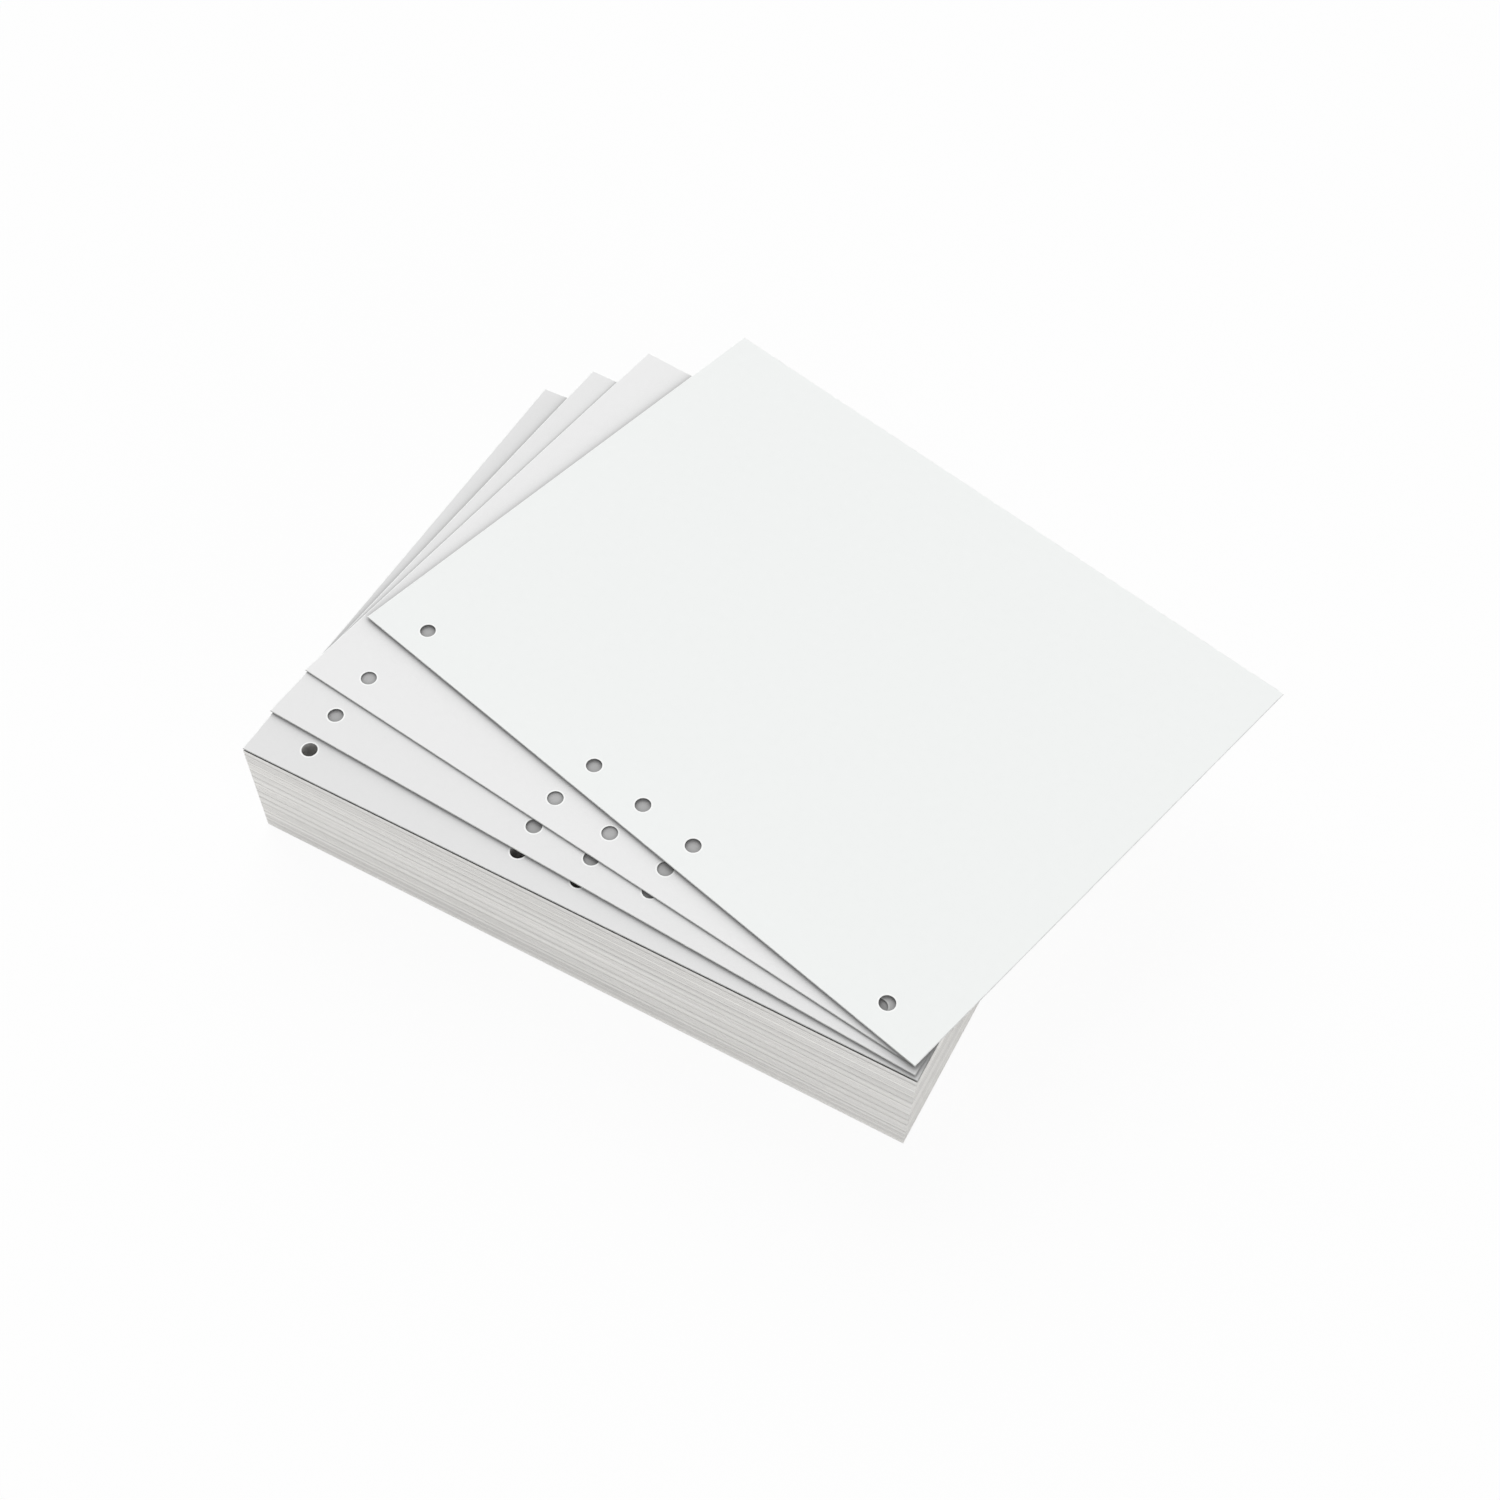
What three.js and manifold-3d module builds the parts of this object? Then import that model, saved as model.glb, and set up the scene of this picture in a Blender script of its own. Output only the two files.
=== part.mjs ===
// A ream of letter-size copier paper, punched along one long edge for ring binders.
// Most of the ream stands as a squared pile. Its top four sheets are loose: one lies square
// on the pile, and three are fanned out clockwise about the front right corner.
//
// Millimetres, +Z up. X runs along the punched edge, and the punched edge faces -Y.
// The origin is the middle of the pile's underside, where it rests on a table.

import * as THREE from "three";
import { mergeVertices } from "three/addons/utils/BufferGeometryUtils.js";
import Module from "manifold-3d";

const wasm = await Module();
wasm.setup();

// One sheet
const SHEET_LENGTH = 279.4; // the punched edge
const SHEET_WIDTH = 215.9;
const SHEET_CALIPER = 0.103; // thickness of 75 g/m2 copier paper

// The punching: one hole in the middle, one each side of it, and one near each end
const HOLE_DIAMETER = 6.1;
const HOLE_TO_EDGE = 11.85; // hole centre to the punched edge
const INNER_HOLE_PITCH = 25.4; // middle hole to the next one
const OUTER_HOLE_OFFSET = 117.4; // middle hole to the end ones

// The ream
const REAM_SHEET_COUNT = 500;
const LIFT_SHEET_COUNT = 8; // sheets that went through the punch together
const LIFT_SLIP = 0.12; // the most that a lift stands out of the pile's outline

// The fan: each sheet is turned clockwise about its front right corner, which has slid a
// little off the pile's own corner
const LOWER_TURN = 3.66; // degrees
const LOWER_SLIDE_X = -1.5;
const LOWER_SLIDE_Y = 1.05;
const MIDDLE_TURN = 7.69;
const MIDDLE_SLIDE_X = -2.9;
const MIDDLE_SLIDE_Y = 3.6;
const UPPER_TURN = 14.58;
const UPPER_SLIDE_X = -2.8;
const UPPER_SLIDE_Y = 3.3;

// Air under the loose sheets
const SEAT_GAP = 0.4; // under the one that lies square on the pile
const LOWER_GAP = 0.75; // under the lower fanned sheet
const MIDDLE_GAP = 0.45; // under the middle one
const UPPER_GAP = 0.9; // under the upper one

// The loose sheets, from the pile up
const LOOSE_SHEETS = [
  { name: "pile_top_sheet", gap: SEAT_GAP, turn: 0, slideX: 0, slideY: 0 },
  {
    name: "lower_fanned_sheet",
    gap: LOWER_GAP,
    turn: LOWER_TURN,
    slideX: LOWER_SLIDE_X,
    slideY: LOWER_SLIDE_Y,
  },
  {
    name: "middle_fanned_sheet",
    gap: MIDDLE_GAP,
    turn: MIDDLE_TURN,
    slideX: MIDDLE_SLIDE_X,
    slideY: MIDDLE_SLIDE_Y,
  },
  {
    name: "upper_fanned_sheet",
    gap: UPPER_GAP,
    turn: UPPER_TURN,
    slideX: UPPER_SLIDE_X,
    slideY: UPPER_SLIDE_Y,
  },
];

// Worked out from the sizes above
const PILE_SHEET_COUNT = REAM_SHEET_COUNT - LOOSE_SHEETS.length;
const PILE_HEIGHT = PILE_SHEET_COUNT * SHEET_CALIPER;
const LIFT_COUNT = Math.ceil(PILE_SHEET_COUNT / LIFT_SHEET_COUNT);
const HOLE_PLACES = [
  -OUTER_HOLE_OFFSET,
  -INNER_HOLE_PITCH,
  0,
  INNER_HOLE_PITCH,
  OUTER_HOLE_OFFSET,
]; // along the punched edge, from its middle

// Faceting of the punched holes, and how far a punch pin runs past what it cuts
const HOLE_SIDES = 32;
const PIN_OVERRUN = 5;

const papers = {
  pile: new THREE.MeshStandardMaterial({ color: 0xd6d5d3, roughness: 0.9, metalness: 0 }),
  loose: new THREE.MeshStandardMaterial({ color: 0xebebeb, roughness: 0.85, metalness: 0 }),
  upper: new THREE.MeshStandardMaterial({ color: 0xf1f3f2, roughness: 0.85, metalness: 0 }),
};

// Closed geometry as a solid that can be joined and cut.
function toSolid(geometry) {
  const bare = geometry.clone();
  bare.deleteAttribute("normal");
  bare.deleteAttribute("uv");
  const merged = mergeVertices(bare);
  return new wasm.Manifold(
    new wasm.Mesh({
      numProp: 3,
      vertProperties: merged.attributes.position.array,
      triVerts: new Uint32Array(merged.index.array),
    }),
  );
}

// A joined or cut solid as geometry with flat-shaded faces.
function toGeometry(solid) {
  const { vertProperties, triVerts } = solid.getMesh();
  const indexed = new THREE.BufferGeometry();
  indexed.setAttribute("position", new THREE.BufferAttribute(vertProperties, 3));
  indexed.setIndex(new THREE.BufferAttribute(triVerts, 1));
  const faceted = indexed.toNonIndexed();
  faceted.computeVertexNormals();
  return faceted;
}

// One sheet, or a lift of sheets cut together, from level bottom to level top, before it is
// punched. Both levels are set as they are given, so that two lifts that share one meet there.
function cutSheets(bottom, top, slip = { x: 0, y: 0 }) {
  const right = SHEET_LENGTH / 2;
  const back = SHEET_WIDTH / 2;
  const outline = new THREE.Shape([
    new THREE.Vector2(slip.x - right, slip.y - back),
    new THREE.Vector2(slip.x + right, slip.y - back),
    new THREE.Vector2(slip.x + right, slip.y + back),
    new THREE.Vector2(slip.x - right, slip.y + back),
  ]);
  const cut = new THREE.ExtrudeGeometry(outline, { depth: 1, bevelEnabled: false });
  const corners = cut.attributes.position;
  for (let corner = 0; corner < corners.count; corner += 1) {
    corners.setZ(corner, corners.getZ(corner) > 0 ? top : bottom);
  }
  return toSolid(cut);
}

// Drives the row of punch pins down through a solid that stands on z = 0.
function punch(solid, height) {
  const radius = HOLE_DIAMETER / 2;
  const stroke = height + 2 * PIN_OVERRUN;
  return HOLE_PLACES.reduce((left, place) => {
    const pin = new THREE.CylinderGeometry(radius, radius, stroke, HOLE_SIDES);
    pin.rotateX(Math.PI / 2);
    pin.translate(place, HOLE_TO_EDGE - SHEET_WIDTH / 2, height / 2);
    return left.subtract(toSolid(pin));
  }, solid);
}

// How far a lift stands off the pile's true outline. The slips come in half steps of LIFT_SLIP,
// so that two neighbouring lifts are either flush or stand clearly apart.
function liftSlip(index) {
  const halfSteps = (wave) => Math.round(2 * Math.sin(wave)) / 2;
  return {
    x: LIFT_SLIP * halfSteps(2.4 * index),
    y: LIFT_SLIP * halfSteps(3.7 * index + 1),
  };
}

// The squared pile: lifts laid face to face, each a little out of line with its neighbours,
// which gives the pile's sides their fine ledges. The five punched bores run through it all.
function pileGeometry() {
  const level = (lift) => SHEET_CALIPER * Math.min(lift * LIFT_SHEET_COUNT, PILE_SHEET_COUNT);
  const lifts = [];
  for (let index = 0; index < LIFT_COUNT; index += 1) {
    lifts.push(cutSheets(level(index), level(index + 1), liftSlip(index)));
  }
  const stacked = lifts.reduce((pile, lift) => pile.add(lift));
  return toGeometry(punch(stacked, PILE_HEIGHT));
}

// A loose sheet, with its front right corner at its own origin, so that it turns there.
function looseSheetGeometry() {
  const sheet = toGeometry(punch(cutSheets(0, SHEET_CALIPER), SHEET_CALIPER));
  sheet.translate(-SHEET_LENGTH / 2, SHEET_WIDTH / 2, 0);
  return sheet;
}

function buildReam() {
  const ream = new THREE.Group();

  const pile = new THREE.Mesh(pileGeometry(), papers.pile);
  pile.name = "squared_pile";
  ream.add(pile);

  const geometry = looseSheetGeometry();
  let level = PILE_HEIGHT;
  LOOSE_SHEETS.forEach(({ name, gap, turn, slideX, slideY }, index) => {
    level += gap;
    const isUpper = index === LOOSE_SHEETS.length - 1;
    const sheet = new THREE.Mesh(geometry, isUpper ? papers.upper : papers.loose);
    sheet.name = name;
    sheet.rotation.z = -THREE.MathUtils.degToRad(turn);
    sheet.position.set(SHEET_LENGTH / 2 + slideX, -SHEET_WIDTH / 2 + slideY, level);
    ream.add(sheet);
    level += SHEET_CALIPER;
  });

  return ream;
}

export default buildReam();
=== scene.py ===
"""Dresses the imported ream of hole-punched paper: cut edges, punched sheets, studio and camera."""

import logging
import math
from dataclasses import dataclass
from enum import Enum

import bmesh
import bpy
from mathutils import Matrix, Vector, noise


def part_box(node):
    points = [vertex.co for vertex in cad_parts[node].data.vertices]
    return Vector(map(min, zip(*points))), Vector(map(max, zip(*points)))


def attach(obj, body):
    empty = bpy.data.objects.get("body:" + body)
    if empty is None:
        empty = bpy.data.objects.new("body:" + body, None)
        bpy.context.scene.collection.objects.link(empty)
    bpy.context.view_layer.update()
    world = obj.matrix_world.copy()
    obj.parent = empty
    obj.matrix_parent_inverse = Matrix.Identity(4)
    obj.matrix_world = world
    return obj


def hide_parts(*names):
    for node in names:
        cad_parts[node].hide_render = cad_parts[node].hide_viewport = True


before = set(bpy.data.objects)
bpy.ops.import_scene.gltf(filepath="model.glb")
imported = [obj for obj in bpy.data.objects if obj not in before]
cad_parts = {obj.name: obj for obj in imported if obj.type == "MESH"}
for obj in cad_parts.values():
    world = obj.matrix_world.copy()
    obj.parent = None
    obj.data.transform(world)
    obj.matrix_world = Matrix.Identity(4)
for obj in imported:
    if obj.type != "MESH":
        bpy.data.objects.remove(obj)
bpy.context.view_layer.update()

log = logging.getLogger("ream")
MM = 0.001
NEAR = 0.01 * MM
MERGE = 1e-7
GRAIN_ROUGHNESS = 0.55
BODY = "root"

Triple = tuple[float, float, float]
Colour = tuple[float, float, float, float]


def linear(red: float, green: float, blue: float) -> Colour:
    """Turns a colour as seen on screen into the linear one that a shader takes.

    Args:
        red: The red part, 0 to 255.
        green: The green part, 0 to 255.
        blue: The blue part, 0 to 255.

    Returns:
        The linear colour with full alpha.
    """

    def one(value: float) -> float:
        """Takes one channel from screen to linear."""
        share = value / 255
        return share / 12.92 if share <= 0.04045 else ((share + 0.055) / 1.055) ** 2.4

    return one(red), one(green), one(blue), 1.0


class Slot(Enum):
    """The record's material slots."""

    PILE = "pile_paper"
    SHEET = "sheet_paper"
    UPPER = "upper_sheet_paper"


class Side(Enum):
    """The material places on each piece of paper."""

    FACE = 0
    CUT = 1
    BORE = 2
    SHY = 3


# Materials


class Graph:
    """A material's node tree, with short calls to add its nodes and feed their inputs."""

    def __init__(self, name: str) -> None:
        """Starts a material that holds one shader.

        Args:
            name: The material's name.
        """
        self.material = bpy.data.materials.new(name)
        self.material.use_nodes = True
        self.tree = self.material.node_tree
        self.shader = self.tree.nodes["Principled BSDF"]

    def add(self, kind: str, **settings: object) -> bpy.types.Node:
        """Adds a node.

        Args:
            kind: The node's type, without the ShaderNode in front.
            settings: The node's own settings, by name.

        Returns:
            The new node.
        """
        node = self.tree.nodes.new("ShaderNode" + kind)
        for key, value in settings.items():
            setattr(node, key, value)
        return node

    def feed(self, slot: bpy.types.NodeSocket, value: object) -> None:
        """Joins a socket to an input, or sets the input to a plain value.

        Args:
            slot: The input.
            value: An output socket, a number or a colour.
        """
        if isinstance(value, bpy.types.NodeSocket):
            self.tree.links.new(value, slot)
        else:
            slot.default_value = value

    def place(self) -> bpy.types.NodeSocket:
        """Gives the point's place on the object, in metres."""
        return self.add("TexCoord").outputs["Object"]

    def split(self, vector: bpy.types.NodeSocket) -> bpy.types.NodeOutputs:
        """Splits a vector.

        Args:
            vector: The vector's socket.

        Returns:
            The outputs X, Y and Z.
        """
        node = self.add("SeparateXYZ")
        self.feed(node.inputs["Vector"], vector)
        return node.outputs

    def math(self, operation: str, *values: object) -> bpy.types.NodeSocket:
        """Works out one value from two or three.

        Args:
            operation: The Math node's operation.
            values: Its values in order, each a socket or a number.

        Returns:
            The result's socket.
        """
        node = self.add("Math", operation=operation)
        for slot, value in zip(node.inputs, values):
            self.feed(slot, value)
        return node.outputs[0]

    def grain(
        self, scale: float, detail: float, stretch: Triple = (1, 1, 1)
    ) -> bpy.types.NodeSocket:
        """Adds a noise over the object.

        Args:
            scale: The noise's cells in a metre.
            detail: Its octaves.
            stretch: How many times finer it is along each axis.

        Returns:
            The noise's value socket.
        """
        mapping = self.add("Mapping")
        self.feed(mapping.inputs["Vector"], self.place())
        self.feed(mapping.inputs["Scale"], stretch)
        grain = self.add("TexNoise")
        self.feed(grain.inputs["Vector"], mapping.outputs["Vector"])
        self.feed(grain.inputs["Scale"], scale)
        self.feed(grain.inputs["Detail"], detail)
        self.feed(grain.inputs["Roughness"], GRAIN_ROUGHNESS)
        return grain.outputs["Fac"]

    def tone(self, share: object, first: object, second: object) -> bpy.types.NodeSocket:
        """Mixes two colours, each of them plain or a socket.

        Args:
            share: 0 for the first colour, 1 for the second.
            first: The first colour.
            second: The second colour.

        Returns:
            The mixed colour's socket.
        """
        mix = self.add("Mix", data_type="RGBA", clamp_factor=True)
        for slot, value in zip((0, 6, 7), (share, first, second)):
            self.feed(mix.inputs[slot], value)
        return mix.outputs[2]

    def deepen(
        self, colour: bpy.types.NodeSocket, share: bpy.types.NodeSocket
    ) -> bpy.types.NodeSocket:
        """Multiplies a colour by a share.

        Args:
            colour: The colour's socket.
            share: The share of it that stays.

        Returns:
            The deepened colour's socket.
        """
        mix = self.add("Mix", data_type="RGBA", blend_type="MULTIPLY")
        for slot, value in zip((0, 6, 7), (1.0, colour, share)):
            self.feed(mix.inputs[slot], value)
        return mix.outputs[2]

    def painted_close_shade(self, reach: float, depth: float, curve: float) -> bpy.types.NodeSocket:
        """Works out how much light is left where another sheet lies close, as a share that paints
        shade into a colour.

        Args:
            reach: How far away a neighbour still counts, in metres.
            depth: How strongly it counts.
            curve: How soon the shade sets in: the smaller, the wider it spreads.

        Returns:
            The socket of the share that is left.
        """
        near = self.add("AmbientOcclusion", samples=16)
        self.feed(near.inputs["Distance"], reach)
        hidden = self.math("SUBTRACT", 1.0, near.outputs["AO"])
        shade = self.math("MULTIPLY", self.math("POWER", hidden, curve), depth)
        return self.math("DIVIDE", 1.0, self.math("ADD", shade, 1.0))

    def bump(self, height: bpy.types.NodeSocket, depth: float, strength: float) -> None:
        """Raises the surface by a height.

        Args:
            height: The height's socket, 0 to 1.
            depth: How far 1 stands up, in metres.
            strength: The share of it that shows.
        """
        bump = self.add("Bump")
        self.feed(bump.inputs["Height"], height)
        self.feed(bump.inputs["Distance"], depth)
        self.feed(bump.inputs["Strength"], strength)
        self.feed(self.shader.inputs["Normal"], bump.outputs["Normal"])

    def finish(self, colour: object, roughness: float, specular: float) -> bpy.types.Material:
        """Gives the shader its colour and its two uniform values.

        Args:
            colour: The colour, plain or a socket.
            roughness: The shader's roughness.
            specular: Its specular level.

        Returns:
            The finished material.
        """
        self.feed(self.shader.inputs["Base Color"], colour)
        self.feed(self.shader.inputs["Roughness"], roughness)
        self.feed(self.shader.inputs["Specular IOR Level"], specular)
        return self.material


@dataclass(frozen=True)
class SheetFace:
    """The face of an uncoated sheet: even, with a faint cloudy formation and fine fibres, and
    painted shade where another sheet lies close and under the holes of the sheet above.
    """

    name: str
    colour: Triple
    cloud: float = 0.7
    cloud_cells: float = 260.0
    cloud_detail: float = 4.0
    cloud_gain: float = 1.6
    cloud_base: float = -0.3
    roughness: float = 0.85
    specular: float = 0.1
    fibre_cells: float = 5200.0
    fibre_detail: float = 5.0
    fibre_stretch: Triple = (1, 1.8, 1)
    fibre_height: float = 0.006 * MM
    fibre_strength: float = 0.25
    shade_reach: float = 20.0 * MM
    shade_depth: float = 1.0
    shade_curve: float = 0.62
    floors: tuple[tuple[float, float], ...] = ()
    floor_radius: float = 3.3 * MM
    floor_share: float = 0.68

    def paint_hole_floor_shade(self, graph: Graph, share: bpy.types.NodeSocket) -> bpy.types.NodeSocket:
        """Paints shade on the spots that are lit only through a hole of the sheet above.

        Args:
            graph: The material's graph.
            share: The share of light so far.

        Returns:
            The share's socket.
        """
        for across, along in self.floors:
            flat = graph.add("VectorMath", operation="MULTIPLY")
            graph.feed(flat.inputs[0], graph.place())
            graph.feed(flat.inputs[1], (1, 1, 0))
            apart = graph.add("VectorMath", operation="DISTANCE")
            graph.feed(apart.inputs[0], flat.outputs["Vector"])
            graph.feed(apart.inputs[1], (across, along, 0))
            inside = graph.math("LESS_THAN", apart.outputs["Value"], self.floor_radius)
            lost = graph.math("MULTIPLY", inside, 1 - self.floor_share)
            share = graph.math("MULTIPLY", share, graph.math("SUBTRACT", 1.0, lost))
        return share

    def paint(self, graph: Graph) -> bpy.types.NodeSocket:
        """Adds the colour of the paper before its shade.

        Args:
            graph: The material's graph.

        Returns:
            The colour's socket.
        """
        cloud = graph.grain(self.cloud_cells, self.cloud_detail)
        share = graph.math("MULTIPLY_ADD", cloud, self.cloud_gain, self.cloud_base)
        dark = linear(*(part - self.cloud for part in self.colour))
        pale = linear(*(part + self.cloud for part in self.colour))
        return graph.tone(share, dark, pale)

    def material(self) -> bpy.types.Material:
        """Builds the material.

        Returns:
            The finished material.
        """
        graph = Graph(self.name)
        # Painted shade: the colour is darkened where another sheet lies close and under the holes
        # above.
        light = graph.painted_close_shade(self.shade_reach, self.shade_depth, self.shade_curve)
        colour = graph.deepen(self.paint(graph), self.paint_hole_floor_shade(graph, light))
        fibres = graph.grain(self.fibre_cells, self.fibre_detail, self.fibre_stretch)
        graph.bump(fibres, self.fibre_height, self.fibre_strength)
        return graph.finish(colour, self.roughness, self.specular)


@dataclass(frozen=True)
class SheetRim(SheetFace):
    """The knife-cut and punched rims of a sheet: a painted highlight, paler than the face, with
    painted shade on the sides that face right or forward, away from the back-left lamp.
    """

    painted_shade_grey: Triple = (182, 183, 182)
    speck_detail: float = 3.0
    speck_stretch: Triple = (1, 1, 4)
    rightward: float = 5.0
    forward: float = 8.0
    onset: float = 0.55

    def paint(self, graph: Graph) -> bpy.types.NodeSocket:
        """Adds the rims' painted highlight and their painted shade on the sides that face right or
        forward, before their close shade.

        Args:
            graph: The material's graph.

        Returns:
            The colour's socket.
        """
        # Painted shade: rims that face right or forward, away from the back-left lamp, turn to the
        # darker colour.
        normal = graph.split(graph.add("TexCoord").outputs["Normal"])
        speck = graph.grain(self.cloud_cells, self.speck_detail, self.speck_stretch)
        right = graph.math("MULTIPLY", normal["X"], self.rightward)
        front = graph.math("MULTIPLY", normal["Y"], -self.forward)
        turned = graph.math("ADD", graph.math("MAXIMUM", right, front), speck)
        share = graph.math("SUBTRACT", turned, self.onset)
        return graph.tone(share, linear(*self.colour), linear(*self.painted_shade_grey))


@dataclass(frozen=True)
class CutPileEdge:
    """The guillotined sides of a pile: sheets seen edge on, in bands where the lifts differ, with
    painted shade where another surface lies close.
    """

    name: str = "cut_pile_edge"
    height: float = 51.088
    pale_bands: tuple[float, ...] = (
        1.2, 5.4, 8.4, 11.2, 14.0, 17.7, 21.7, 25.8, 28.3, 31.5, 35.6, 39.1, 43.1, 46.3, 49.7,
    )
    dull: Triple = (219, 218, 216)
    pale: Triple = (243, 242, 240)
    warm: Triple = (230, 228, 224)
    lie: Triple = (0.02, 0.02, 1.0)
    line: float = 0.8 * MM
    line_detail: float = 3.0
    line_gain: float = 1.1
    line_base: float = -0.28
    streak: float = 5.0 * MM
    streak_detail: float = 2.0
    streak_gain: float = 0.5
    streak_base: float = 0.745
    ridge_cells: float = 9000.0
    ridge_detail: float = 2.0
    ridge_lie: Triple = (0.01, 0.01, 1)
    ridge_height: float = 0.01 * MM
    ridge_strength: float = 0.2
    roughness: float = 0.9
    specular: float = 0.1
    shade_reach: float = 3.0 * MM
    shade_depth: float = 1.5
    shade_curve: float = 3.0

    def bands(self, graph: Graph) -> bpy.types.NodeSocket:
        """Adds the pale and dull bands up the pile.

        Args:
            graph: The material's graph.

        Returns:
            The bands' colour socket.
        """
        level = graph.math("DIVIDE", graph.split(graph.place())["Z"], self.height * MM)
        ramp = graph.add("ValToRGB")
        stops = ramp.color_ramp.elements
        stops[0].position, stops[0].color = 0.0, linear(*self.pale)
        stops[1].position, stops[1].color = 1.0, linear(*self.dull)
        for low, high in zip(self.pale_bands, self.pale_bands[1:] + (self.height,)):
            stops.new(low / self.height).color = linear(*self.pale)
            if high < self.height:
                stops.new((low + high) / 2 / self.height).color = linear(*self.dull)
        graph.feed(ramp.inputs["Fac"], level)
        return ramp.outputs["Color"]

    def material(self) -> bpy.types.Material:
        """Builds the material.

        Returns:
            The finished material.
        """
        graph = Graph(self.name)
        lines = graph.grain(1 / self.line, self.line_detail, self.lie)
        share = graph.math("MULTIPLY_ADD", lines, self.line_gain, self.line_base)
        sheets = graph.tone(share, self.bands(graph), linear(*self.warm))
        streaks = graph.grain(1 / self.streak, self.streak_detail, self.lie)
        streaks = graph.math("MULTIPLY_ADD", streaks, self.streak_gain, self.streak_base)
        # Painted shade where another surface lies close; the recess's material takes it much
        # deeper.
        light = graph.painted_close_shade(self.shade_reach, self.shade_depth, self.shade_curve)
        colour = graph.deepen(sheets, graph.math("MULTIPLY", light, streaks))
        ridges = graph.grain(self.ridge_cells, self.ridge_detail, self.ridge_lie)
        graph.bump(ridges, self.ridge_height, self.ridge_strength)
        return graph.finish(colour, self.roughness, self.specular)


@dataclass(frozen=True)
class BoreWall:
    """The wall of a punched bore: painted shade, darkest near the top and fading to the plain
    cut-edge colour deeper down.
    """

    name: str = "punched_bore_wall_painted_shade"
    # pressed is the painted shade's colour at the top of the bore; plain is the cut-edge colour
    # deeper down.
    pressed: Triple = (158, 157, 155)
    plain: Triple = (228, 227, 225)
    top: float = 51.5 * MM
    reach: float = 9.0 * MM
    cells: float = 1500.0
    detail: float = 3.0
    stretch: Triple = (1, 1, 4)
    speckle: float = 0.3
    onset: float = 0.15
    roughness: float = 0.9
    specular: float = 0.15
    ridge_height: float = 0.02 * MM
    ridge_strength: float = 0.3

    def material(self) -> bpy.types.Material:
        """Builds the material.

        Returns:
            The finished material.
        """
        graph = Graph(self.name)
        speck = graph.grain(self.cells, self.detail, self.stretch)
        # Painted shade: darkest near the top of the bore, fading deeper down.
        below = graph.math("SUBTRACT", self.top, graph.split(graph.place())["Z"])
        depth = graph.math("SUBTRACT", graph.math("DIVIDE", below, self.reach), self.onset)
        share = graph.math("MULTIPLY_ADD", speck, self.speckle, depth)
        colour = graph.tone(share, linear(*self.pressed), linear(*self.plain))
        graph.bump(speck, self.ridge_height, self.ridge_strength)
        return graph.finish(colour, self.roughness, self.specular)


# Sizes shared by every piece


@dataclass(frozen=True)
class SheetSize:
    """One sheet, with its punched edge along X, in metres."""

    length: float = 279.4 * MM
    width: float = 215.9 * MM
    caliper: float = 0.103 * MM

    def corner(self) -> Vector:
        """Gives the front right corner, which the loose sheets turn about."""
        return Vector((self.length / 2, -self.width / 2, 0))


@dataclass(frozen=True)
class Punching:
    """The row of five holes along the front edge."""

    diameter: float = 6.1 * MM
    to_edge: float = 11.85 * MM
    inner_pitch: float = 25.4 * MM
    outer_offset: float = 117.4 * MM
    sides: int = 64

    def centres(self, size: SheetSize) -> list[Vector]:
        """Gives the hole centres about the middle of a sheet.

        Args:
            size: The sheet.

        Returns:
            The five centres, from left to right.
        """
        across = self.to_edge - size.width / 2
        steps = (-self.outer_offset, -self.inner_pitch, 0, self.inner_pitch, self.outer_offset)
        return [Vector((step, across, 0)) for step in steps]


# Mesh helpers


def drift(first: Triple, second: Triple) -> Vector:
    """Gives a smooth random offset in X and Y.

    Args:
        first: The noise's point for X.
        second: Its point for Y.

    Returns:
        The offset, each part between -1 and 1.
    """
    return Vector((noise.noise(first), noise.noise(second), 0))


def hole_ring(bm: bmesh.types.BMesh, centre: Vector, radius: float, sides: int) -> list:
    """Draws a hole's edge.

    Args:
        bm: The mesh.
        centre: The middle of the hole.
        radius: Its radius.
        sides: Its number of sides.

    Returns:
        The ring's edges.
    """
    made = bmesh.ops.create_circle(
        bm, segments=sides, radius=radius, matrix=Matrix.Translation(centre)
    )
    return list({edge for vert in made["verts"] for edge in vert.link_edges})


def outline_ring(
    bm: bmesh.types.BMesh, size: SheetSize, along: int = 1, across: int = 1
) -> list:
    """Draws a sheet's outline at level 0.

    Args:
        bm: The mesh.
        size: The sheet.
        along: The number of steps along each long edge.
        across: The number of steps along each short edge.

    Returns:
        The outline's edges.
    """
    made = bmesh.ops.create_grid(
        bm,
        x_segments=along,
        y_segments=across,
        size=0.5,
        matrix=Matrix.Diagonal((size.length, size.width, 1, 1)),
    )
    verts = set(made["verts"])
    faces = list({face for vert in verts for face in vert.link_faces})
    bmesh.ops.delete(bm, geom=faces, context="FACES_KEEP_BOUNDARY")
    kept = [vert for vert in verts if vert.is_valid]
    return list({edge for vert in kept for edge in vert.link_edges})


def draw_out(bm: bmesh.types.BMesh, edges: list, place: int) -> tuple[list, list]:
    """Extrudes a ring of edges, and leaves the new ring where the old one is.

    Args:
        bm: The mesh.
        edges: The ring's edges.
        place: The material place of the new faces.

    Returns:
        The new ring's vertices and its edges.
    """
    made = bmesh.ops.extrude_edge_only(bm, edges=edges)["geom"]
    verts = {part for part in made if isinstance(part, bmesh.types.BMVert)}
    for part in made:
        if isinstance(part, bmesh.types.BMFace):
            part.material_index = place
    ring = [
        part
        for part in made
        if isinstance(part, bmesh.types.BMEdge) and all(v in verts for v in part.verts)
    ]
    return list(verts), ring


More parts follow.
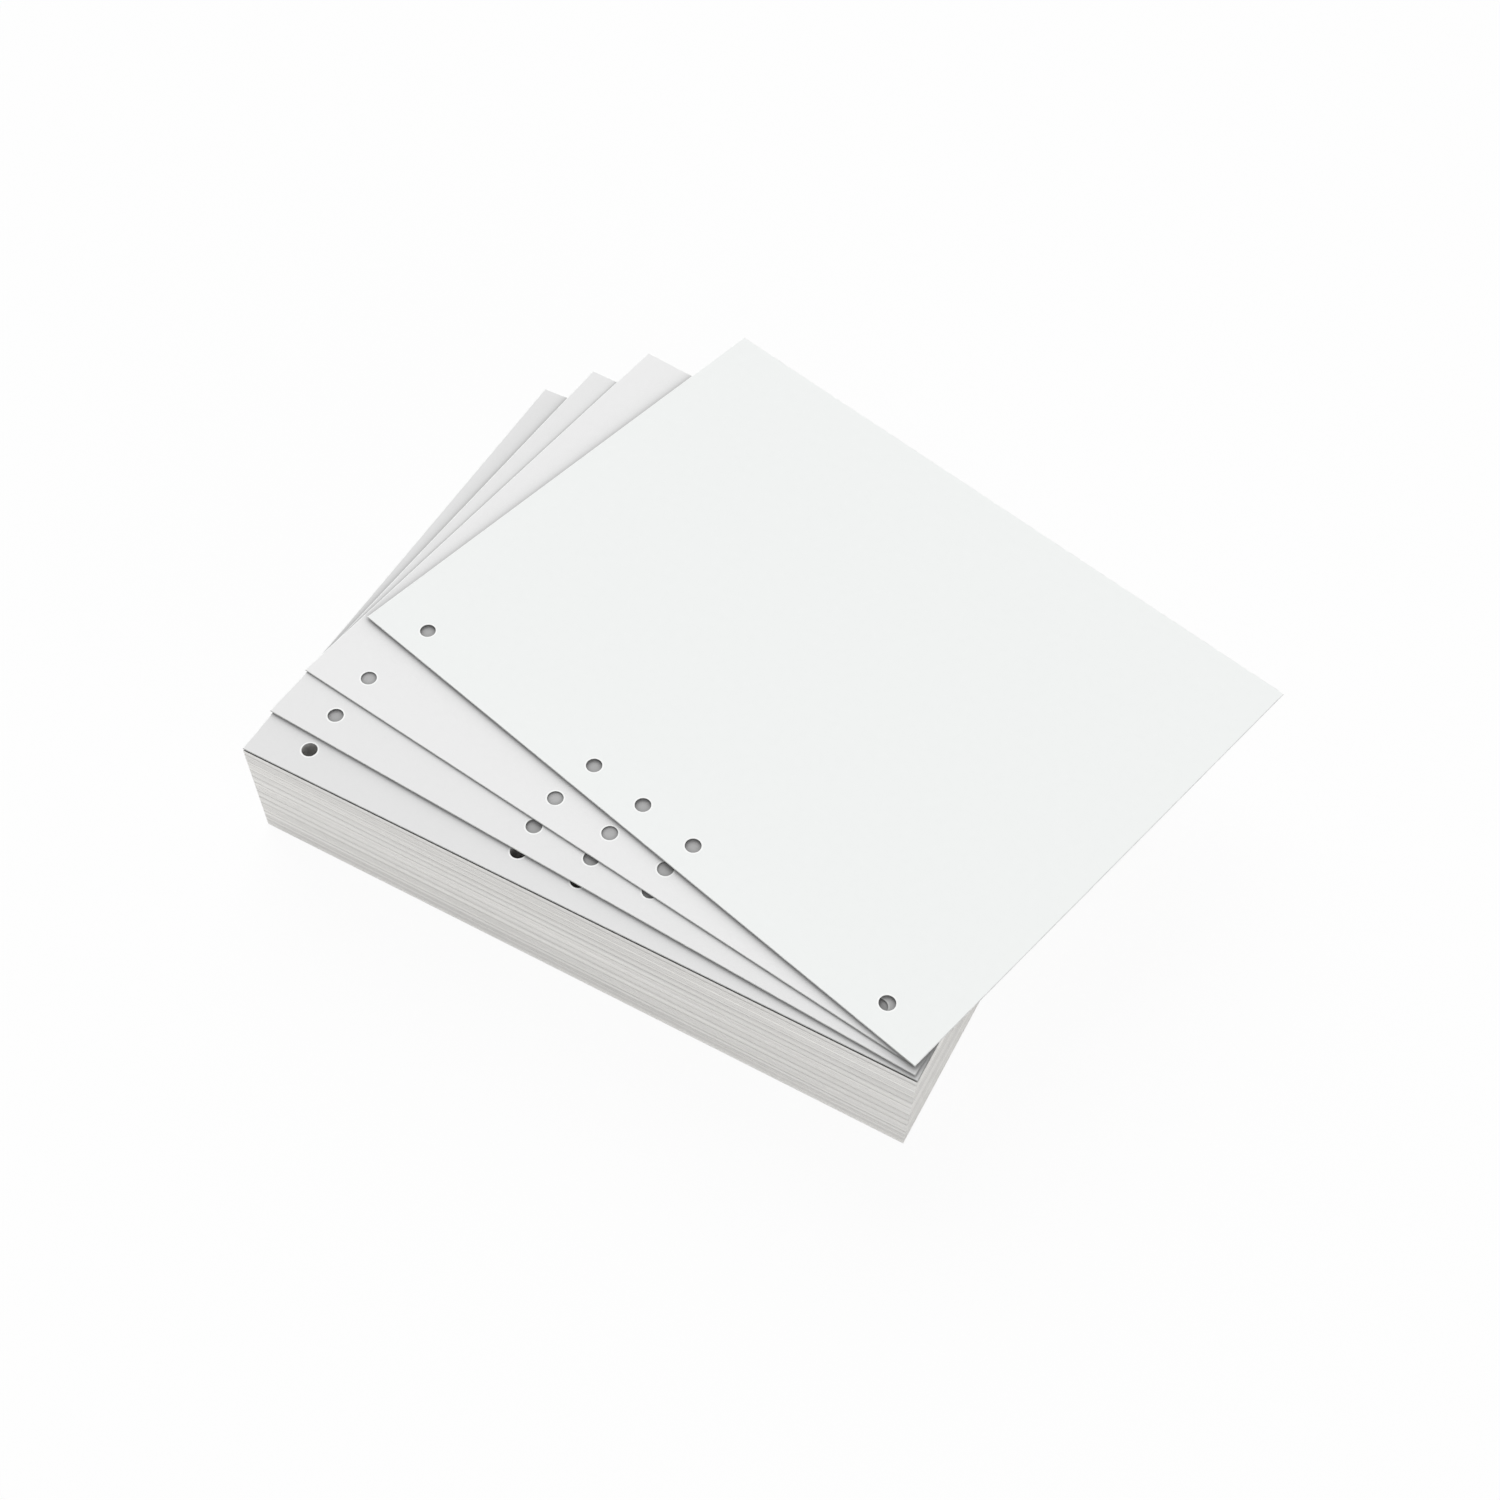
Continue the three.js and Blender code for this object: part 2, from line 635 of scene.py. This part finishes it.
def raise_wall(wall: bmesh.types.BMesh, edges: list, rise: float, steps: int, place: int) -> None:
    """Draws a mesh's only ring of edges straight up and cuts the wall into even steps.

    Args:
        wall: The mesh, which holds nothing but the ring.
        edges: The ring's edges, at level 0.
        rise: The height of each step.
        steps: The number of steps.
        place: The material place of the wall.
    """
    low = set(wall.verts)
    verts, _ = draw_out(wall, edges, place)
    bmesh.ops.translate(wall, verts=verts, vec=(0, 0, rise * steps))
    upright = [edge for vert in verts for edge in vert.link_edges if edge.other_vert(vert) in low]
    bmesh.ops.subdivide_edges(wall, edges=upright, cuts=steps - 1, use_grid_fill=True)


def add_mesh(bm: bmesh.types.BMesh, part: bmesh.types.BMesh) -> None:
    """Adds one mesh to another.

    Args:
        bm: The mesh that grows.
        part: The mesh that is added, which is freed.
    """
    mesh = bpy.data.meshes.new("part")
    part.to_mesh(mesh)
    part.free()
    bm.from_mesh(mesh)
    bpy.data.meshes.remove(mesh)


def open_edges(bm: bmesh.types.BMesh, level: float) -> list:
    """Finds the edges at a level that have a face on one side only.

    Args:
        bm: The mesh.
        level: The level, in metres.

    Returns:
        The edges.
    """
    return [
        edge
        for edge in bm.edges
        if edge.is_boundary and all(abs(vert.co.z - level) < NEAR for vert in edge.verts)
    ]


def fill(bm: bmesh.types.BMesh, edges: list, up: bool) -> None:
    """Fills the paper between an outline and its holes.

    Args:
        bm: The mesh.
        edges: The edges of the outline and of all the holes.
        up: Whether the paper faces up.
    """
    made = bmesh.ops.triangle_fill(
        bm, edges=edges, use_beauty=True, normal=(0, 0, 1 if up else -1)
    )
    for part in made["geom"]:
        if isinstance(part, bmesh.types.BMFace):
            part.material_index = Side.FACE.value


def finish_piece(
    bm: bmesh.types.BMesh, name: str, node: str, finishes: tuple
) -> None:
    """Turns a mesh into a piece that stands for a CAD node.

    Args:
        bm: The finished mesh, which is freed.
        name: The piece's name.
        node: The CAD node that it replaces.
        finishes: Its finishes, in the order of Side.
    """
    bmesh.ops.remove_doubles(bm, verts=bm.verts, dist=MERGE)
    bmesh.ops.recalc_face_normals(bm, faces=bm.faces)
    mesh = bpy.data.meshes.new(name)
    bm.to_mesh(mesh)
    bm.free()
    for finish in finishes:
        mesh.materials.append(finish.material())
    piece = bpy.data.objects.new(name, mesh)
    bpy.context.scene.collection.objects.link(piece)
    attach(piece, BODY)
    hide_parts(node)
    log.info("%s: %d faces", name, len(mesh.polygons))


# The squared pile


@dataclass(frozen=True)
class Scatter:
    """How the sheets and the bores' steps drift out of line: noise rates and lanes."""

    sheet_rates: tuple[float, float] = (0.71, 0.63)
    sheet_lanes: tuple[float, float] = (4.2, 9.7)
    outline_rate: float = 9.0
    outline_step: float = 0.37
    bore_rates: tuple[float, float] = (0.9, 0.8)
    bore_steps: tuple[float, float] = (3.1, 2.3)
    bore_lanes: tuple[float, float] = (1, 5)

    def sheet(self, sheet: int) -> Vector:
        """Gives one sheet's drift.

        Args:
            sheet: The sheet, from the bottom.

        Returns:
            The drift in X and Y, each part between -1 and 1.
        """
        (fast, slow), (first, second) = self.sheet_rates, self.sheet_lanes
        return drift((sheet * fast, first, 0), (sheet * slow, second, 0))

    def outline(self, sheet: int, place: Vector) -> float:
        """Gives how one point of a sheet's outline wanders in or out.

        Args:
            sheet: The sheet, from the bottom.
            place: The point on the true outline.

        Returns:
            A number between -1 and 1.
        """
        rate = self.outline_rate
        return noise.noise((place.x * rate, place.y * rate, sheet * self.outline_step))

    def bore(self, lift: int, number: int) -> Vector:
        """Gives a bore's drift in one lift.

        Args:
            lift: The lift, from the bottom.
            number: Which bore it is.

        Returns:
            The drift in X and Y, each part between -1 and 1.
        """
        points = zip(self.bore_rates, self.bore_steps, self.bore_lanes)
        return drift(*((lift * rate, number * step, lane) for rate, step, lane in points))


@dataclass
class SquaredPile:
    """The pressed-together sheets, each with its own cut edge, and the five bores."""

    size: SheetSize
    punching: Punching
    name: str = "pile_of_sheets"
    node: str = "squared_pile"
    sheets: int = 496
    lift: int = 8
    lift_slip: float = 0.06 * MM
    lift_waves: tuple[float, float] = (2.4, 3.7)
    sheet_slip: float = 0.006 * MM
    wander: float = 0.006 * MM
    trimmed: float = 0.03 * MM
    bore_slip: float = 0.05 * MM
    scatter: Scatter = Scatter()
    shy_sheets: int = 7
    shy: float = 0.8 * MM
    along: int = 8
    across: int = 6
    bore_sides: int = 40
    face: SheetFace = SheetFace("pile_sheet_face", (236, 236, 236))
    edge: CutPileEdge = CutPileEdge()
    bore: BoreWall = BoreWall()
    # The recess under the top sheets takes the same sides with much deeper painted shade.
    recess_painted_shade_edge: CutPileEdge = CutPileEdge("recessed_pile_edge_painted_shade", shade_depth=25.0)

    def lift_offset(self, index: int) -> Vector:
        """Gives how far a lift stands out of line, in step with the CAD solid's lifts.

        Args:
            index: The lift, from the bottom.

        Returns:
            The offset in X and Y.
        """

        def half_steps(wave: float) -> float:
            """Rounds a wave to half steps."""
            return math.floor(2 * math.sin(wave) + 0.5) / 2

        across, along = self.lift_waves
        slip = Vector((half_steps(across * index), half_steps(along * index + 1), 0))
        return self.lift_slip * slip

    def outward(self, place: Vector) -> Vector:
        """Gives the way out of the pile at a point of its outline.

        Args:
            place: The point on the true outline.

        Returns:
            A step of 1 along X or Y, or along both at a corner.
        """
        halves = (self.size.length / 2, self.size.width / 2)
        steps = [
            math.copysign(1, at) if abs(at) > half - NEAR else 0
            for at, half in zip(place, halves)
        ]
        return Vector((*steps, 0))

    def offset(self, sheet: int, place: Vector) -> Vector:
        """Gives how far one point of a sheet's edge stands out of line.

        Args:
            sheet: The sheet, from the bottom.
            place: The point on the true outline.

        Returns:
            The offset in X and Y.
        """
        slip = self.scatter.sheet(sheet) * self.sheet_slip
        out = self.wander * self.scatter.outline(sheet, place) - self.trimmed
        if sheet >= self.sheets - self.shy_sheets:
            out -= self.shy
        return self.lift_offset(sheet // self.lift) + slip + self.outward(place) * out

    def raise_sides(self) -> bmesh.types.BMesh:
        """Draws the outline up through every sheet, with two rings to a sheet.

        Returns:
            The pile's outer wall.
        """
        wall = bmesh.new()
        ring = outline_ring(wall, self.size, self.along, self.across)
        step = self.size.caliper
        raise_wall(wall, ring, step, 2 * self.sheets - 1, Side.CUT.value)
        for vert in wall.verts:
            sheet, over = divmod(round(vert.co.z / step), 2)
            place = Vector((vert.co.x, vert.co.y, 0))
            vert.co = place + self.offset(sheet, place)
            vert.co.z = (sheet + over) * step
        # The recessed faces take the material with deep painted shade.
        recess = (self.sheets - self.shy_sheets) * step - NEAR
        for face in wall.faces:
            if all(vert.co.z > recess for vert in face.verts):
                face.material_index = Side.SHY.value
        return wall

    def raise_bore(self, centre: Vector, number: int) -> bmesh.types.BMesh:
        """Draws one bore's wall up through every lift, with two rings to a lift.

        Args:
            centre: The bore's centre.
            number: Which bore it is.

        Returns:
            The bore's wall.
        """
        wall = bmesh.new()
        ring = hole_ring(wall, centre, self.punching.diameter / 2, self.bore_sides)
        lifts = math.ceil(self.sheets / self.lift)
        rise = self.lift * self.size.caliper
        raise_wall(wall, ring, rise, 2 * lifts - 1, Side.BORE.value)
        for vert in wall.verts:
            lift, over = divmod(round(vert.co.z / rise), 2)
            vert.co += self.scatter.bore(lift, number) * self.bore_slip
            vert.co.z = min((lift + over) * self.lift, self.sheets) * self.size.caliper
        return wall

    def build(self) -> None:
        """Builds the pile and dresses it."""
        bm = bmesh.new()
        add_mesh(bm, self.raise_sides())
        for number, centre in enumerate(self.punching.centres(self.size)):
            add_mesh(bm, self.raise_bore(centre, number))
        fill(bm, open_edges(bm, 0), up=False)
        fill(bm, open_edges(bm, self.sheets * self.size.caliper), up=True)
        finishes = (self.face, self.edge, self.bore, self.recess_painted_shade_edge)
        finish_piece(bm, self.name, self.node, finishes)


# The loose sheets


@dataclass(frozen=True)
class Lie:
    """How one loose sheet lies: its CAD node, finish, clockwise turn and slide."""

    node: str
    slot: Slot
    colour: Triple
    shade_depth: float = 1.0
    floor_share: float = 1.0
    turn: float = 0.0
    slide: tuple[float, float] = (0.0, 0.0)

    def placing(self, size: SheetSize) -> Matrix:
        """Gives the move from square on the pile to where the sheet lies.

        Args:
            size: The sheet.

        Returns:
            The turn about the front right corner, and the slide.
        """
        corner = size.corner()
        turn = Matrix.Rotation(-math.radians(self.turn), 4, "Z")
        slide = Matrix.Translation(corner + Vector((*self.slide, 0)))
        return slide @ turn @ Matrix.Translation(-corner)

    def holes(self, size: SheetSize, punching: Punching) -> tuple[tuple[float, float], ...]:
        """Gives where the sheet's holes lie on the pile.

        Args:
            size: The sheet.
            punching: Its holes.

        Returns:
            The X and Y of each hole's centre.
        """
        placing = self.placing(size)
        spots = [placing @ centre for centre in punching.centres(size)]
        return tuple((spot.x, spot.y) for spot in spots)


@dataclass
class LooseSheet:
    """A single punched sheet with its pressed rims."""

    lie: Lie
    size: SheetSize
    punching: Punching
    face: SheetFace
    rim: SheetRim
    edge_rim: float = 0.3 * MM
    hole_rim: float = 0.6 * MM
    pressed: float = 0.04 * MM

    def trim(self, bm: bmesh.types.BMesh) -> list:
        """Draws the knife-cut rim along the outline.

        Args:
            bm: The mesh.

        Returns:
            The rim's inner ring of edges.
        """
        ring = outline_ring(bm, self.size)
        verts, inner = draw_out(bm, ring, Side.CUT.value)
        sides = (self.size.length, self.size.width)
        along, across = (1 - 2 * self.edge_rim / side for side in sides)
        bmesh.ops.scale(bm, verts=verts, vec=(along, across, 1))
        return inner

    def punch(self, bm: bmesh.types.BMesh, centre: Vector) -> list:
        """Draws one hole with its rim.

        Args:
            bm: The mesh.
            centre: The hole's centre, at the sheet's level.

        Returns:
            The rim's outer ring of edges.
        """
        radius = self.punching.diameter / 2
        ring = hole_ring(bm, centre, radius, self.punching.sides)
        verts, outer = draw_out(bm, ring, Side.CUT.value)
        widen = (radius + self.hole_rim) / radius
        bmesh.ops.scale(
            bm, verts=verts, vec=(widen, widen, 1), space=Matrix.Translation(-centre)
        )
        return outer

    def on_outline(self, place: Vector) -> bool:
        """Tells whether a point lies on the sheet's outline.

        Args:
            place: The point, with the sheet square on the pile.

        Returns:
            Whether it does.
        """
        sides = (self.size.length, self.size.width)
        return any(abs(at) > side / 2 - NEAR for at, side in zip(place, sides))

    def build(self) -> None:
        """Builds the sheet where its CAD node lies and dresses it."""
        low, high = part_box(self.lie.node)
        bm = bmesh.new()
        edges = self.trim(bm)
        for centre in self.punching.centres(self.size):
            edges += self.punch(bm, centre)
        fill(bm, edges, up=True)
        drawn = bmesh.ops.extrude_face_region(bm, geom=list(bm.faces), use_keep_orig=True)
        above = [part for part in drawn["geom"] if isinstance(part, bmesh.types.BMVert)]
        bmesh.ops.translate(bm, verts=above, vec=(0, 0, high.z - low.z))
        bm.normal_update()
        for face in bm.faces:
            if abs(face.normal.z) < 0.5:
                face.material_index = Side.CUT.value
        brink = [vert for vert in above if self.on_outline(vert.co)]
        bmesh.ops.translate(bm, verts=brink, vec=(0, 0, -self.pressed))
        placing = Matrix.Translation((0, 0, low.z)) @ self.lie.placing(self.size)
        bmesh.ops.transform(bm, matrix=placing, verts=bm.verts)
        name = "punched_" + self.lie.node
        finish_piece(bm, name, self.lie.node, (self.face, self.rim))


@dataclass
class Fan:
    """The four loose sheets on the pile."""

    size: SheetSize
    punching: Punching
    # The rims' colour, paler than every face, is a painted highlight.
    rim_highlight_colour: Triple = (253, 254, 253)
    # The sheets are alike: their colours growing darker from the top sheet down are painted shade
    # of the sheets above.
    lies: tuple[Lie, ...] = (
        Lie("pile_top_sheet", Slot.SHEET, (231, 231, 231), shade_depth=0.97, floor_share=0.68),
        Lie(
            "lower_fanned_sheet",
            Slot.SHEET,
            (236, 236, 236),
            shade_depth=1.22,
            floor_share=0.65,
            turn=3.66,
            slide=(-1.5 * MM, 1.05 * MM),
        ),
        Lie(
            "middle_fanned_sheet",
            Slot.SHEET,
            (240, 240, 240),
            shade_depth=1.08,
            floor_share=0.7,
            turn=7.69,
            slide=(-2.9 * MM, 3.6 * MM),
        ),
        Lie(
            "upper_fanned_sheet",
            Slot.UPPER,
            (244, 246, 245),
            turn=14.58,
            slide=(-2.8 * MM, 3.3 * MM),
        ),
    )

    def build(self) -> None:
        """Builds the sheets from the pile up, each with painted shade where the next one lies over
        it.
        """
        above = [lie.holes(self.size, self.punching) for lie in self.lies[1:]] + [()]
        for lie, floors in zip(self.lies, above):
            shade = {
                "shade_depth": lie.shade_depth,
                "floors": floors,
                "floor_share": lie.floor_share,
            }
            face = SheetFace(lie.node + "_face", lie.colour, **shade)
            rim = SheetRim(lie.node + "_rim", self.rim_highlight_colour, **shade)
            LooseSheet(lie, self.size, self.punching, face, rim).build()


# The studio


@dataclass(frozen=True)
class Lamp:
    """A distant soft lamp."""

    name: str
    toward: Triple
    level: float
    spread: float

    def hang(self) -> None:
        """Hangs the lamp, so that a white surface facing it would show its level."""
        data = bpy.data.lights.new(self.name, "SUN")
        data.energy = self.level * math.pi
        data.angle = math.radians(self.spread)
        lamp = bpy.data.objects.new(self.name, data)
        lamp.rotation_euler = Vector(self.toward).to_track_quat("Z", "Y").to_euler()
        bpy.context.scene.collection.objects.link(lamp)


@dataclass
class Studio:
    """A plain pale floor under plain soft light."""

    floor_half: float = 3.0
    floor_drop: float = 0.2 * MM
    floor_colour: Colour = (0.9, 0.9, 0.9, 1.0)
    floor_shade: float = 0.08
    world: float = 0.57
    lamps: tuple[Lamp, ...] = (
        Lamp("back_left_softbox", (-0.6, 0.75, 0.6), 0.62, 60),
        Lamp("front_right_reflector", (0.57, -0.31, 0.02), 0.65, 50),
    )

    def floor(self) -> None:
        """Lays the floor."""
        bm = bmesh.new()
        bmesh.ops.create_grid(bm, x_segments=1, y_segments=1, size=self.floor_half)
        bmesh.ops.translate(bm, verts=bm.verts, vec=(0, 0, -self.floor_drop))
        mesh = bpy.data.meshes.new("floor")
        bm.to_mesh(mesh)
        bm.free()
        floor = bpy.data.objects.new("floor", mesh)
        bpy.context.scene.collection.objects.link(floor)
        mesh.materials.append(self.floor_material())

    def floor_material(self) -> bpy.types.Material:
        """Builds a floor that shows white and still takes the object's shadow.

        Returns:
            The finished material.
        """
        graph = Graph("white_floor")
        glow = graph.add("Emission")
        graph.feed(glow.inputs["Strength"], 1.0)
        path = graph.add("LightPath").outputs
        seen = graph.math("MAXIMUM", path["Is Camera Ray"], path["Is Glossy Ray"])
        blend = graph.add("MixShader")
        graph.feed(blend.inputs["Fac"], graph.math("MULTIPLY", seen, 1 - self.floor_shade))
        graph.feed(blend.inputs[1], graph.shader.outputs["BSDF"])
        graph.feed(blend.inputs[2], glow.outputs["Emission"])
        surface = graph.tree.nodes["Material Output"].inputs["Surface"]
        graph.feed(surface, blend.outputs["Shader"])
        return graph.finish(self.floor_colour, 1.0, 0.0)

    def sky(self) -> None:
        """Sets a world that lights evenly and shows white."""
        world = bpy.data.worlds.new("studio_world")
        bpy.context.scene.world = world
        world.use_nodes = True
        tree = world.node_tree
        ground = tree.nodes["Background"]
        ground.inputs["Color"].default_value = (1, 1, 1, 1)
        path = tree.nodes.new("ShaderNodeLightPath")
        pick = tree.nodes.new("ShaderNodeMix")
        pick.inputs["A"].default_value = self.world
        pick.inputs["B"].default_value = 1.0
        tree.links.new(path.outputs["Is Camera Ray"], pick.inputs["Factor"])
        tree.links.new(pick.outputs["Result"], ground.inputs["Strength"])

    def build(self) -> None:
        """Lays the floor and hangs the lamps."""
        self.floor()
        self.sky()
        for lamp in self.lamps:
            lamp.hang()
        log.info("studio is lit")


@dataclass
class PhotographCamera:
    """The camera that took the photograph, as fitted to the sheets' corners, in metres."""

    name: str = "photograph_camera"
    place: Triple = (0.20889, -0.38535, 0.63230)
    looking: Triple = (-0.26902, 0.46856, -0.84147)
    right: Triple = (0.87093, 0.49139, -0.00482)
    lens: float = 45.69
    sensor: float = 36.0
    shift: tuple[float, float] = (0.0454, 0.05827)
    clip: tuple[float, float] = (0.01, 20.0)

    def build(self) -> None:
        """Sets up the scene's camera."""
        data = bpy.data.cameras.new(self.name)
        data.sensor_fit = "HORIZONTAL"
        data.sensor_width = self.sensor
        data.lens = self.lens
        data.shift_x, data.shift_y = self.shift
        data.clip_start, data.clip_end = self.clip
        camera = bpy.data.objects.new(self.name, data)
        back = -Vector(self.looking).normalized()
        right = Vector(self.right).normalized()
        up = back.cross(right)
        turn = Matrix((right, up, back)).transposed().to_4x4()
        camera.matrix_world = Matrix.Translation(self.place) @ turn
        bpy.context.scene.collection.objects.link(camera)
        bpy.context.scene.camera = camera


def main() -> None:
    """Builds the camera, the ream and the studio."""
    logging.basicConfig(level=logging.INFO)
    bpy.context.scene.view_settings.view_transform = "Standard"
    PhotographCamera().build()
    size, punching = SheetSize(), Punching()
    SquaredPile(size, punching).build()
    Fan(size, punching).build()
    Studio().build()


if __name__ == "__main__":
    main()
